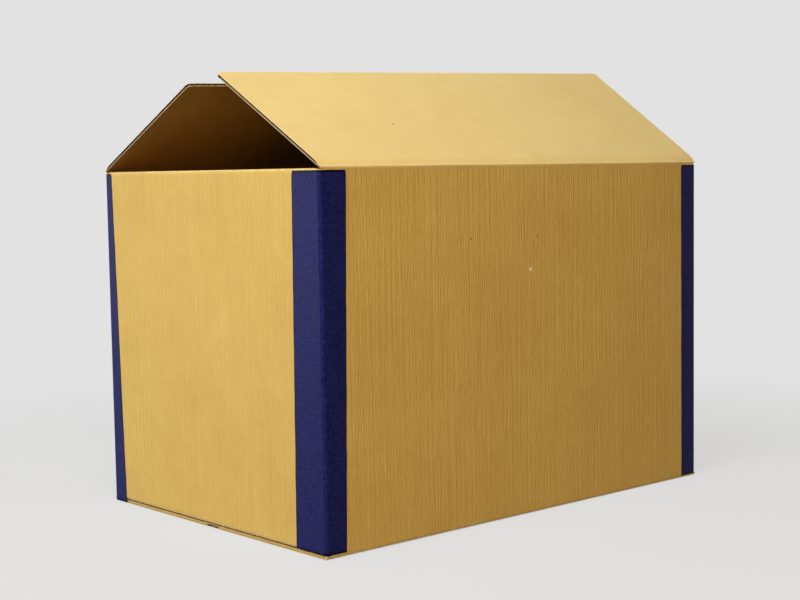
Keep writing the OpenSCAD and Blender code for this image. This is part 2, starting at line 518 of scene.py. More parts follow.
class Shade(Nodes):
    """Builds the nodes of one material or world."""

    def __init__(self, owner: bpy.types.Material | bpy.types.World) -> None:
        """Clears the owner's nodes."""
        owner.use_nodes = True
        super().__init__(owner.node_tree)

    def sheet(self) -> tuple[Sock, Sock]:
        """The sheet's own coordinates, in metres: across the flutes and along them."""
        chart = self.add("ShaderNodeUVMap", {"uv_map": "sheet"}, {})
        return self.part(chart, "X"), self.part(chart, "Y")

    def place(self) -> Sock:
        """Object coordinates."""
        return self.add("ShaderNodeTexCoord", {}, {}, "Object")

    def wear(self) -> Sock:
        """The wear that the piece's points carry, with the painted highlight and painted shade in
        it.
        """
        return self.add("ShaderNodeAttribute", {"attribute_name": "wear"}, {}, "Fac")

    def seen(self) -> Sock:
        """Tells the rays that show the backdrop from those that light the object.

        Returns:
            1 on the camera's rays and on glossy and transmission ones, so that metal and
            glass show the backdrop too, and 0 on the others.
        """
        kinds = ("Is Camera Ray", "Is Glossy Ray", "Is Transmission Ray")
        camera, glossy, through = (self.add("ShaderNodeLightPath", {}, {}, kind) for kind in kinds)
        return (camera + glossy + through).unit()

    def noise(self, where: Sock, scale: float, detail: float = 2.0, rough: float = 0.5) -> Sock:
        """Noise about 0.5.

        Args:
            where: its coordinates
            scale: how many waves a unit has
            detail: finer layers
            rough: share of the finer layers

        Returns:
            The noise.
        """
        values = {"Vector": where, "Scale": scale, "Detail": detail, "Roughness": rough}
        return self.add("ShaderNodeTexNoise", {}, values, 0)

    def grain(
        self, sheet: tuple[Sock, Sock], across: float, along: float, layer: float = 0.0,
        detail: float = 2.0, rough: float = 0.5,
    ) -> Sock:
        """Noise about 0.5 that lies on the sheet, drawn out along it or across it.

        Args:
            sheet: the sheet's coordinates
            across: waves in a metre across the flutes
            along: waves in a metre along them
            layer: which noise
            detail: finer layers
            rough: share of the finer layers

        Returns:
            The noise.
        """
        where = self.vector(sheet[0] * across, sheet[1] * along, layer)
        return self.noise(where, 1.0, detail, rough)

    def tone(self, middle: Sock | float, *layers: tuple[Sock, float]) -> Sock:
        """Sways a value by noises.

        Args:
            middle: the value
            layers: each noise, about 0.5, and how much of it shows

        Returns:
            The swayed value, kept between 0 and 1.
        """
        for noise, amount in layers:
            middle = middle + (noise - 0.5) * amount
        return middle.unit()

    def blend(self, share: Any, low: Any, high: Any) -> Sock:
        """Mixes two colours by the share of the second."""
        settings = {"data_type": "RGBA"}
        return self.add("ShaderNodeMix", settings, {0: share, 6: low, 7: high}, 2)

    def bump(self, height: Sock, strength: float, distance: float) -> Sock:
        """Turns a height into a normal, where a height of 1 stands for the distance in metres."""
        values = {"Height": height, "Strength": strength, "Distance": distance}
        return self.add("ShaderNodeBump", {}, values)

    def surface(self, values: dict[str, Any]) -> None:
        """Ends in a Principled BSDF and the output."""
        self.output(self.add("ShaderNodeBsdfPrincipled", {}, values))

    def output(self, surface: Sock) -> None:
        """Links a shader to the material's output."""
        self.add("ShaderNodeOutputMaterial", {}, {"Surface": surface})


def srgb(*levels: float) -> Colour:
    """Linear colour of an sRGB one that is written from 0 to 255."""
    shares = (level / 255.0 for level in levels)
    return (*(s / 12.92 if s <= 0.04045 else ((s + 0.055) / 1.055) ** 2.4 for s in shares), 1.0)


@dataclass(frozen=True)
class Finish:
    """A finish of some kind, by its material's name."""

    name: str

    def paint(self, shade: Shade) -> None:
        """Adds the finish's nodes."""
        raise NotImplementedError

    def material(self) -> bpy.types.Material:
        """Builds the material.

        Returns:
            The material.
        """
        made = bpy.data.materials.new(self.name)
        self.paint(Shade(made))
        return made


@dataclass(frozen=True)
class Mark:
    """A small rub, speck or scratch, in the sheet's own millimetres and degrees."""

    u: float
    v: float
    half_l: float
    half_w: float
    turn: float = 0.0
    share: float = 0.8
    dark: bool = False


@dataclass(frozen=True)
class KraftFinish(Finish):
    """Kraft liner: fibres and glue lines along the flutes, mottled, pale where it is worn and where
    a highlight is painted along folds and edges.
    """

    deep: Colour
    light: Colour
    worn: Colour = srgb(240, 222, 170)
    chalk: Colour = srgb(253, 240, 205)
    dirt: Colour = srgb(104, 72, 32)
    fleck: Colour = srgb(120, 88, 42)
    stripes: float = 0.2
    fibres: float = 0.65
    threads: float = 0.5
    flecks: float = 0.30
    relief: float = 0.0014
    roughness: float = 0.58
    gloss: float = 0.12
    marks: tuple[Mark, ...] = ()

    def _marked(self, shade: Shade, u: Sock, v: Sock, paper: Sock) -> Sock:
        """Adds the marks.

        Args:
            shade: the material's nodes
            u: place across the flutes
            v: place along them
            paper: the paper's colour

        Returns:
            The colour with the marks.
        """
        for mark in self.marks:
            a = math.radians(mark.turn)
            du, dv = u - mark.u * MM, v - mark.v * MM
            along = (du * math.cos(a) + dv * math.sin(a)) / (mark.half_l * MM)
            across = (dv * math.cos(a) - du * math.sin(a)) / (mark.half_w * MM)
            share = (along * along + across * across).step(1.4, 0.2) * mark.share
            paper = shade.blend(share, paper, self.dirt if mark.dark else self.chalk)
        return paper

    def paint(self, shade: Shade) -> None:
        """Adds the liner's nodes.

        Args:
            shade: the material's nodes
        """
        sheet, place, wear = shade.sheet(), shade.place(), shade.wear()
        mottle, cloud = shade.noise(place, 11.0, 3.0), shade.noise(place, 48.0)
        grit, tear = shade.noise(place, 1300.0), shade.noise(place, 170.0, 3.0, 0.6)
        fibre = shade.grain(sheet, 350.0, 7.0, rough=0.6)
        thread = shade.grain(sheet, 420.0, 90.0, 3.0)
        patch = shade.grain(sheet, 42.0, 5.0, 9.0)
        speck = shade.grain(sheet, 260.0, 150.0, 5.0, detail=1.0)
        chip = shade.grain(sheet, 190.0, 170.0, 21.0, detail=1.0)
        glue_line = (sheet[0] * (math.tau / (STOCK.pitch * MM)) + 0.25 * math.tau).sine()
        tone = shade.tone(
            glue_line * (patch - 0.30) * self.stripes + 0.5, (mottle, 0.5), (cloud, 0.35),
            (fibre, self.fibres), (thread, self.threads), (grit, 0.12),
        )
        paper = shade.blend(tone, self.deep, self.light)
        paper = shade.blend(speck.step(0.735, 0.80) * self.flecks, paper, self.fleck)
        paper = shade.blend(chip.step(0.745, 0.80) * (self.flecks * 0.9), paper, self.worn)
        # The wear attribute here is rubbed paper and partly a painted highlight along the folds,
        # the crease and the edges; both blend towards the worn colour.
        scuff = (wear * 1.25 + (tear - 0.62) * 1.1).step(0.18, 0.95)
        paper = self._marked(shade, *sheet, shade.blend(scuff, paper, self.worn))
        height = grit * 0.12 + thread * 0.6 + fibre * 0.8 + tear * wear * 0.4
        shade.surface({
            "Base Color": paper,
            "Roughness": shade.tone(scuff * 0.1 + self.roughness, (fibre, 0.18)),
            "Specular IOR Level": self.gloss,
            "Normal": shade.bump(height, 0.6, self.relief),
        })


@dataclass(frozen=True)
class CutEdgeFinish(Finish):
    """Raw edge of the board and the fluted paper inside it: dull, fibrous and darker."""

    deep: Colour = srgb(176, 148, 108)
    light: Colour = srgb(234, 212, 170)

    def paint(self, shade: Shade) -> None:
        """Adds the edge's nodes.

        Args:
            shade: the material's nodes
        """
        place = shade.place()
        fuzz, cloud = shade.noise(place, 900.0, 3.0, 0.65), shade.noise(place, 60.0)
        tone = shade.tone(0.5, (fuzz, 0.9), (cloud, 0.5))
        shade.surface({
            "Base Color": shade.blend(tone, self.deep, self.light),
            "Roughness": shade.tone(0.78, (fuzz, 0.2)),
            "Specular IOR Level": 0.2,
            "Normal": shade.bump(fuzz, 0.6, 0.0003),
        })


@dataclass(frozen=True)
class ClothFinish(Finish):
    """Coated cloth tape: a plain weave under a thin smooth coat."""

    deep: Colour = srgb(0, 0, 24)
    light: Colour = srgb(47, 51, 134)
    thread: float = 0.0019
    sheen: Colour = (0.35, 0.45, 1.0, 1.0)

    def paint(self, shade: Shade) -> None:
        """Adds the cloth's nodes.

        Args:
            shade: the material's nodes
        """
        sheet, wear = shade.sheet(), shade.wear()
        warp, weft = ((way * (math.pi / self.thread)).sine() for way in sheet)
        over = (warp * weft).step(-0.25, 0.25)
        weave = abs(warp) * over + abs(weft) * (1.0 - over)
        mottle = shade.grain(sheet, 60.0, 30.0, detail=3.0)
        blot = shade.grain(sheet, 330.0, 330.0, 2.0)
        slub = shade.grain(sheet, 600.0, 90.0, 4.0)
        pick = shade.grain(sheet, 90.0, 600.0, 8.0)
        # The wear attribute brightens a painted highlight along the fold, and where it is below 0
        # it darkens painted shade along the rims.
        tone = shade.tone(
            weave * 0.30 + wear * (blot * 1.6 - 0.1) + 0.18,
            (mottle, 0.35), (blot, 0.9), (slub, 0.4), (pick, 0.4),
        )
        shade.surface({
            "Base Color": shade.blend(tone, self.deep, self.light),
            "Roughness": shade.tone(0.50 - weave * 0.12, (mottle, 0.2)),
            "Specular IOR Level": 0.08,
            "Specular Tint": self.sheen,
            "Normal": shade.bump(weave + (slub + pick) * 0.35, 0.6, 0.00018),
        })


@dataclass(frozen=True)
class PaperTapeFinish(Finish):
    """Smooth paper tape, a little glossier and browner than the board."""

    deep: Colour = srgb(168, 132, 80)
    light: Colour = srgb(190, 155, 100)

    def paint(self, shade: Shade) -> None:
        """Adds the paper's nodes.

        Args:
            shade: the material's nodes
        """
        crepe = shade.grain(shade.sheet(), 900.0, 200.0, detail=3.0)
        cloud = shade.noise(shade.place(), 30.0, 3.0)
        tone = shade.tone(0.5, (crepe, 0.5), (cloud, 0.6))
        shade.surface({
            "Base Color": shade.blend(tone, self.deep, self.light),
            "Roughness": shade.tone(0.42, (cloud, 0.3)),
            "Specular IOR Level": 0.4,
            "Normal": shade.bump(crepe, 0.4, 0.0001),
        })


@dataclass(frozen=True)
class FloorFinish(Finish):
    """Pale studio floor that fades into the backdrop and keeps the object's shadow."""

    seen: Colour
    bounce: Colour = (0.3, 0.3, 0.3, 1.0)
    near_share: float = 0.80
    near: float = 0.5
    far: float = 1.3

    def paint(self, shade: Shade) -> None:
        """Adds the floor's nodes.

        Args:
            shade: the material's nodes
        """
        seen, place = shade.seen(), shade.place()
        x, y = shade.part(place, "X"), shade.part(place, "Y")
        fade = ((x * x + y * y) ** 0.5).step(self.near, self.far)
        skin = shade.add("ShaderNodeBsdfPrincipled", {}, {
            "Base Color": shade.blend(seen, self.bounce, self.seen),
            "Roughness": shade.tone(0.9, (shade.noise(place, 3.0), 0.02)),
            "Specular IOR Level": 0.0,
        })
        glow = shade.add("ShaderNodeEmission", {}, {"Color": self.seen, "Strength": 1.0})
        share = seen * (self.near_share + fade * (1.0 - self.near_share))
        shade.output(shade.add("ShaderNodeMixShader", {}, {0: share, 1: skin, 2: glow}))


class Palette:
    """The finishes' materials, built once."""

    def __init__(self) -> None:
        """Builds each material."""
        light, deep = srgb(226, 196, 112), srgb(200, 163, 80)
        wall_marks = (
            Mark(297.0, 278.6, 2.8, 2.1, share=1.0),
            Mark(308.5, 315.8, 1.6, 1.9, share=0.5, dark=True),
            Mark(203.9, 316.6, 1.5, 1.8, share=0.6, dark=True),
        )
        flap_marks = (
            Mark(-140.7, 82.9, 1.6, 1.6, share=0.8, dark=True),
            Mark(192.6, 189.5, 6.0, 1.2, -35.0, 0.25),
            Mark(163.0, 185.2, 4.0, 1.1, -30.0, 0.35),
            Mark(107.8, 182.4, 20.0, 0.8, -62.0, 0.35),
        )
        self.outer = KraftFinish("kraft_outer_liner", deep, light, marks=wall_marks).material()
        # The top flaps' liner: the walls' kraft made smoother and glossier, and painted paler and
        # less saturated as a painted highlight for the light on its upward face.
        self.flap = KraftFinish(
            "kraft_flap_liner", srgb(212, 180, 104), srgb(231, 208, 136), stripes=0.05, fibres=0.2,
            threads=0.15, relief=0.00018, roughness=0.46, gloss=0.45, marks=flap_marks,
        ).material()
        # The inner liner: the same kraft painted a darker brown, as painted shade of the carton's
        # inside.
        self.inner = KraftFinish(
            "kraft_inner_liner", srgb(124, 89, 40), srgb(154, 117, 60), flecks=0.4, relief=0.0004,
            roughness=0.7,
        ).material()
        self.edge = CutEdgeFinish("kraft_cut_edge").material()
        self.core, self.flute, self.base_edge = (
            CutEdgeFinish(name, srgb(*dark), srgb(*pale)).material() for name, dark, pale in (
                # The core is painted near black as the painted shadow in the grooves between the
                # liners.
                ("fluted_core_painted_shadow", (34, 23, 11), (58, 41, 21)),
                # The fluted paper in the mouths: its own brown, painted darker as painted shade
                # inside the mouths.
                ("fluted_paper", (112, 86, 50), (156, 126, 82)),
                ("kraft_pressed_edge", (200, 166, 94), (226, 196, 122)),
            )
        )
        self.cloth = ClothFinish("navy_cloth").material()
        self.paper = PaperTapeFinish("seam_paper").material()

    def board(self) -> list[bpy.types.Material]:
        """Outer liner, inner liner, cut edge and the shaded paper inside."""
        return [self.outer, self.inner, self.edge, self.core]


@dataclass
class Walls:
    """The four walls as one folded ring, with the folds at their tops and bottoms."""

    palette: Palette
    furrows: Washboard = Washboard(0.11, STOCK.phase, 11)
    per_flute: int = 6
    fold_steps: int = 6
    arc_steps: int = 8
    overhang_steps: int = 2
    top_z: float = 396.45
    levels: tuple[float, ...] = (
        8.9, 12.0, 18.0, 28.0, 42.0, 62.0, 90.0, 122.0, 156.0, 190.0, 224.0, 258.0,
        290.0, 318.0, 340.0, 356.0, 368.0, 376.0, 382.0, 386.0, 389.0,
    )
    corner_wear: float = 0.35
    base_wear: float = 0.75
    # The rim's and the crease's pale lines are rubbed paper and partly a painted highlight along
    # the folds.
    rim_wear_and_highlight: float = 0.62
    crease_wear_and_highlight: tuple[float, float] = (0.20, 0.50)
    crush_from: float = 383.0
    crush_depth: float = 0.35
    warp_depth: float = 0.16
    tape_room: float = 62.0

    def __post_init__(self) -> None:
        """Lays out the columns round the carton and names the rows where it is folded."""
        s, t = SIZE, STOCK.thick
        across = self.furrows.columns(t - s.half_l, s.half_l - t, self.per_flute)
        deep = self.furrows.columns(-s.short_half, s.short_half, self.per_flute)
        rim, end = s.short_half + s.slit, s.half_w - t
        deep = np.concatenate([[-end, -rim], deep, [rim, end]])
        step = np.arange(1, self.arc_steps)
        arc = t * math.pi / 2
        parts, start = [], 0.0
        for quarter, face in enumerate(((0, -1), (1, 0), (0, 1), (-1, 0))):
            wall = Wall(quarter % 2)
            places, reach = (deep, s.half_l) if wall is Wall.SHORT else (across, s.half_w)
            out, along = np.array(face, float), np.array([-face[1], face[0]], float)
            parts.append((
                reach * out + places[:, None] * along, np.tile(out, (len(places), 1)),
                start + places - places[0], np.full(len(places), int(wall)),
                places * along.sum(), places * 0.0,
            ))
            start += places[-1] - places[0]
            turn = (quarter - 1) * math.pi / 2 + math.pi / 2 * step / self.arc_steps
            bend = np.stack([np.cos(turn), np.sin(turn)], -1)
            away = self.arc_steps - step if wall is Wall.SHORT else step
            parts.append((
                (reach - t) * out + places[-1] * along + t * bend, bend,
                start + arc * step / self.arc_steps, np.full(len(step), int(Wall.CORNER)),
                step * 1.0, np.where(away <= self.overhang_steps, away / self.overhang_steps, 0.0),
            ))
            start += arc
        columns = [np.concatenate(part) for part in zip(*parts)]
        closed = [np.concatenate([column, column[:1]]) for column in columns]
        self.p, self.n, self.u, self.kind, self.spot, self.near = closed
        self.u[-1] = start
        self.corner, self.long = self.kind == Wall.CORNER, self.kind == Wall.LONG
        self.heights = np.array([
            t, s.corner_lo, s.inner_floor, *self.levels, s.rim_z - t, s.corner_hi, self.top_z,
        ])
        self.base, self.floor_row = self.fold_steps, self.fold_steps + 2
        self.top = self.base + len(self.heights) - 1
        self.rim_row = self.top - 2

    def build(self) -> bpy.types.Object:
        """Builds the ring of walls.

        Returns:
            The ring, fastened to the carton.
        """
        s, t, steps, base = SIZE, STOCK.thick, self.fold_steps, self.base
        levels = np.pad(self.heights, (steps, steps - 2), mode="edge")
        z = np.repeat(levels[:, None], len(self.u), 1)
        v, wear = z.copy(), np.zeros(z.shape)
        wear[:, self.corner] = self.corner_wear
        out = np.broadcast_to(np.pad(self.n, ((0, 0), (0, 1))), (*z.shape, 3)).copy()
        hub = np.broadcast_to(self.p - t * self.n, (*z.shape, 2))
        hub = np.concatenate([hub, z[..., None]], 2)
        facing = self.n.copy()
        facing[self.corner] = np.sign(self.p[self.corner]) * [0.0, 1.0]
        short = (self.kind == Wall.SHORT) & (np.abs(self.spot) <= s.short_half + 0.01)
        overhang = self.near > 0

        def turn(row: int, mask: Array, centre: float, a: float, way: int) -> None:
            """Turns a row of the sheet about its fold.

            Args:
                row: the row
                mask: which of its columns turn
                centre: height of the fold's centre
                a: angle out of the wall
                way: 1 for a fold above the wall, -1 for one under it
            """
            tip = way * math.sin(a)
            turned = np.pad(facing[mask] * math.cos(a), ((0, 0), (0, 1)), constant_values=tip)
            out[row, mask] = turned
            hub[row, mask, 2] = centre
            v[row, mask] = centre + way * t * a

        for k in range(1, steps + 1):
            a = math.pi / 2 * k / steps
            for row, mask, centre in (
                (base - k, self.long | overhang, t), (self.floor_row - k, short, s.inner_floor),
            ):
                turn(row, mask, centre, a, -1)
                wear[row, mask] = self.base_wear * math.sin(2 * min(a, math.pi / 4))
            a = math.radians(90 + s.droop) * k / steps
            turn(self.rim_row + k, short, s.rim_z - t, a, 1)
            # Pale along the short walls' rims: rubbed paper and partly a painted highlight.
            wear[self.rim_row + k, short] = self.rim_wear_and_highlight * math.sin(min(a, math.pi / 2))
        side = np.sign(self.p[overhang])
        edge = (s.half_l - t) + (s.long_half - s.half_l + t) * self.near[overhang]
        hub[:base + 1, overhang, 0] = side[:, 0] * edge
        hub[:base + 1, overhang, 1] = side[:, 1] * (s.half_w - t)
        hub[:base + 1, overhang, 2] = t
        out[base, overhang] = np.pad(facing[overhang], ((0, 0), (0, 1)))
        sink, warp, back, crushed = self._relief(z, v)
        wear = np.maximum(wear, crushed)
        # Pale along the long walls' crease: rubbed paper and partly a painted highlight.
        wear[self.top - 1, self.long], wear[self.top, self.long] = self.crease_wear_and_highlight
        outer = hub + out * (t - sink - warp)[..., None]
        inner = hub - out * np.minimum(warp, 0.0)[..., None]
        slope = np.where(self.long, t - np.clip(self.top_z - z, 0.0, t), 0.0)
        slope[:base] = 0.0
        inner[..., 2] -= np.where(z > s.rim_z - t - 0.01, slope, 0.0)
        inner = inner + out * back[..., None]
        chart = np.stack([np.broadcast_to(self.u, z.shape), v], -1)
        draft = Draft()
        draft.sheet(outer, inner, chart, wear, self._present(len(z)), closed=True)
        made = draft.piece("carton_walls", self.palette.board())
        hand_over(made, Body.CARTON, ["carton"])
        return made

    def _relief(self, z: Array, v: Array) -> tuple[Array, Array, Array, Array]:
        """Works out how uneven the walls are.

        Args:
            z: height of each point
            v: its distance up the sheet

        Returns:
            Depths of the outer furrows and dents, the walls' soft warp, depths of the
            inner furrows, and the wear of the crushed upper rims.
        """
        u, plain = self.u, ~self.corner
        place = np.where(plain, self.spot + np.floor(u / 300.0) * 1600.0, 0.0)
        sink = np.where(plain, self.furrows.sink(place[None, :], v), 0.0)
        crush = np.where(self.long, smooth((z - self.crush_from) / 10.0), 0.0)
        dents = ripple(u, v, 5, 13.0) * ripple(u, v, 8, 31.0)
        sink = sink * smooth((396.0 - z) / 5.0)
        sink = sink + crush * np.clip(dents - 0.25, 0.0, 1.0) * self.crush_depth
        edge_room = smooth(np.minimum(z - 8.0, 392.0 - z) / 60.0) * plain
        half = np.where(self.long, SIZE.half_l, SIZE.half_w) - STOCK.thick
        side_room = np.clip(1.0 - np.abs(self.spot) / half, 0.0, 1.0) * 300.0
        warp = (ripple(u, v, 3, 240.0) + 1.0) * self.warp_depth
        warp = warp * edge_room * smooth((side_room - self.tape_room) / 60.0)
        back = self.furrows.sink(place[None, :] + STOCK.pitch / 2, v)
        back = np.where(plain & (z > 9.0) & (z < 391.0), back, 0.0)
        return sink, warp, back, crush * np.clip(dents, 0.0, 1.0) * 0.5

    def _present(self, rows: int) -> Array:
        """Which cells of the ring there are.

        Args:
            rows: number of rows

        Returns:
            One value for each cell.
        """
        first, second = slice(None, -1), slice(1, None)
        long = self.long[first] & self.long[second]
        corner = self.corner[first] | self.corner[second]
        lower = self.long | (self.near > 0)
        middle = np.abs(self.spot[first] + self.spot[second]) / 2
        short = ~long & ~corner
        slit = short & (middle > SIZE.short_half)
        beside = slit & (middle > SIZE.short_half + SIZE.slit)
        cells = np.zeros((rows - 1, len(long)), bool)
        cells[:self.top, long] = True
        cells[:self.base, corner & lower[first] & lower[second]] = True
        cells[self.base + 1:self.rim_row + 1, corner | beside] = True
        cells[self.floor_row:self.rim_row, slit & ~beside] = True
        whole = slice(self.floor_row - self.fold_steps, self.rim_row + self.fold_steps)
        cells[whole, short & ~slit] = True
        return cells


@dataclass
class Leaf:
    """A flap or any flat part of the board: two liners, the fluted core and open flute mouths."""

    name: str
    palette: Palette
    place: Place
    lo: float
    hi: float
    length: float
    seed: int
    body: Body = Body.CARTON
    start_outer: float = 0.0
    start_inner: float = 0.0
    per_flute: int = 4
    furrow: float = 0.06
    rows: tuple[float, ...] = (
        0.0, 0.01, 0.03, 0.07, 0.14, 0.24, 0.36, 0.5, 0.64, 0.78, 0.88, 0.95, 0.985, 1.0,
    )
    groove: float = STOCK.groove
    drop: float = 0.0
    rim: float = 0.22
    warp: float = 0.03
    chart_shift: float = 0.0

    def outer_at(self, p: Array, s: Array) -> Array:
        """Height of the outer face over the inner base plane."""
        return np.full(np.broadcast(p, s).shape, STOCK.thick)

    def inner_at(self, p: Array, s: Array) -> Array:
        """Height of the inner face over the base plane."""
        return np.zeros(np.broadcast(p, s).shape)

    def limits(self, s: Array) -> tuple[Array, Array]:
        """Where the side edges lie at a distance from the fold."""
        return np.full(s.shape, self.lo), np.full(s.shape, self.hi)

    def wear_at(self, p: Array, s: Array) -> Array:
        """Wear and painted highlight: strongest at the free edge and the side edges.

        Args:
            p: place across the flutes
            s: distance from the fold

        Returns:
            The wear, 0 where there is none.
        """
        lo, hi = self.limits(s)
        side = np.minimum(p - lo, hi - p)
        edge = np.minimum(side, self.length - s)
        # Paler edges: rubbed paper and partly a painted highlight where the liners' edges catch
        # light.
        return 0.55 * (1.0 - smooth(edge / 3.0))

    def _grid(
        self, first: float, last: float, inset: float, per_flute: int, phase: float,
    ) -> tuple[Array, Array]:
        """Lays out places over the leaf.

        Args:
            first: distance of the first row from the fold
            last: distance of the last row
            inset: how far the sides are drawn in
            per_flute: columns for each flute
            phase: where the furrows of this face lie

        Returns:
            Places across and along, as grids.
        """
        board = Washboard(self.furrow, phase, self.seed)
        p = board.columns(self.lo + inset, self.hi - inset, per_flute)
        extra = [self.lo + inset + 1.5, self.hi - inset - 1.5]
        p = np.unique(np.round(np.concatenate([p, extra]), 4))
        s = first + (last - first) * np.array(self.rows)
        grid_p, grid_s = np.meshgrid(p, s)
        lo, hi = self.limits(grid_s)
        return np.clip(grid_p, lo + inset, hi - inset), grid_s

    def _face(self, draft: Draft, outward: bool) -> None:
        """Adds one liner.

        Args:
            draft: the leaf's points and faces
            outward: whether it is the outer liner
        """
        shift = 0.0 if outward else STOCK.pitch / 2
        first = self.start_outer if outward else self.start_inner
        phase = STOCK.phase + shift
        p, s = self._grid(first, self.length, 0.0, self.per_flute, phase)
        sink = Washboard(self.furrow, phase, self.seed + int(outward)).sink(p, s)
        sink = sink + (ripple(p, s, self.seed + 40, 120.0) + 1.0) * self.warp
        lo, hi = self.limits(s)
        rim = np.minimum(np.minimum(p - lo, hi - p), self.length - s)
        sink = sink + self.rim * (1.0 - smooth(rim / 1.6)) + 0.04
        if outward:
            face = self.outer_at(p, s) - sink
            under = face - STOCK.liner
        else:
            face = self.inner_at(p, s) + sink
            under = face + STOCK.liner
        fray = -0.12 - 0.12 * ripple(p, s, self.seed + 60, 5.0)
        frayed = s + np.where(s > self.length - 0.01, fray, 0.0)
        outer = self.place(p, frayed, face)
        inner = self.place(p, frayed, under)
        chart = np.stack([p + self.chart_shift, s], -1)
        # The liner's underside takes the near-black core finish, as painted shadow in the groove.
        draft.sheet(outer, inner, chart, self.wear_at(p, s), slots=(0 if outward else 1, 3, 2))

    def _core(self, draft: Draft) -> None:
        """Adds the fluted core, set back from the edges.

        Args:
            draft: the leaf's points and faces
        """
        first = max(self.start_outer, self.start_inner)
        p, s = self._grid(first, self.length - STOCK.mouth, self.groove, 1, STOCK.phase)
        gap = STOCK.liner + STOCK.slack
        low = self.inner_at(p, s) + gap
        outer = self.place(p, s, np.maximum(self.outer_at(p, s) - gap - self.drop, low + 0.3))
        inner = self.place(p, s, low)
        chart = np.stack([p, s], -1)
        # The core takes the near-black finish, as painted shadow in the groove.
        draft.sheet(outer, inner, chart, slots=(3, 3, 2))

    def build(self) -> bpy.types.Object:
        """Builds the leaf and its fluted paper.

        Returns:
            The leaf.
        """
        draft = Draft()
        self._face(draft, True)
        self._face(draft, False)
        self._core(draft)
        made = draft.piece(self.name, self._finishes())
        self._dress(made)
        self._flutes()
        return made

    def _finishes(self) -> list[bpy.types.Material]:
        """The leaf's materials."""
        return self.palette.board()

    def _dress(self, made: bpy.types.Object) -> None:
        """Fastens the leaf."""
        hand_over(made, self.body, ["carton"])

    def _flutes(self) -> None:
        """Adds the fluted paper in the free edge's mouths."""
        room = STOCK.thick - 2 * STOCK.liner
        count = int((self.hi - self.lo - 2 * STOCK.groove) // STOCK.pitch)
        middle = STOCK.phase + STOCK.pitch * round((self.lo + self.hi) / 2 / STOCK.pitch)
        if count % 2:
            middle += STOCK.pitch / 2
        wave = FluteWave(self.name + "_flutes", count, STOCK.pitch, room, STOCK.mouth)
        made = wave.build(self.palette.flute, count % 2 == 1)
        flat = np.zeros(len(made.data.vertices) * 3)
        made.data.vertices.foreach_get("co", flat)
        flat = flat.reshape(-1, 3) / MM
        p = flat[:, 0] + middle
        s = np.minimum(self.length - STOCK.mouth + flat[:, 1], self.length - 0.5)
        lo, hi = self.limits(s)
        p = np.clip(p, lo + 0.6, hi - 0.6)
        top, low = self.outer_at(p, s), self.inner_at(p, s)
        points = self.place(p, s, (top + low) / 2 + flat[:, 2])
        made.data.vertices.foreach_set("co", (points * MM).reshape(-1))
        made.data.update()
        hand_over(made, self.body)


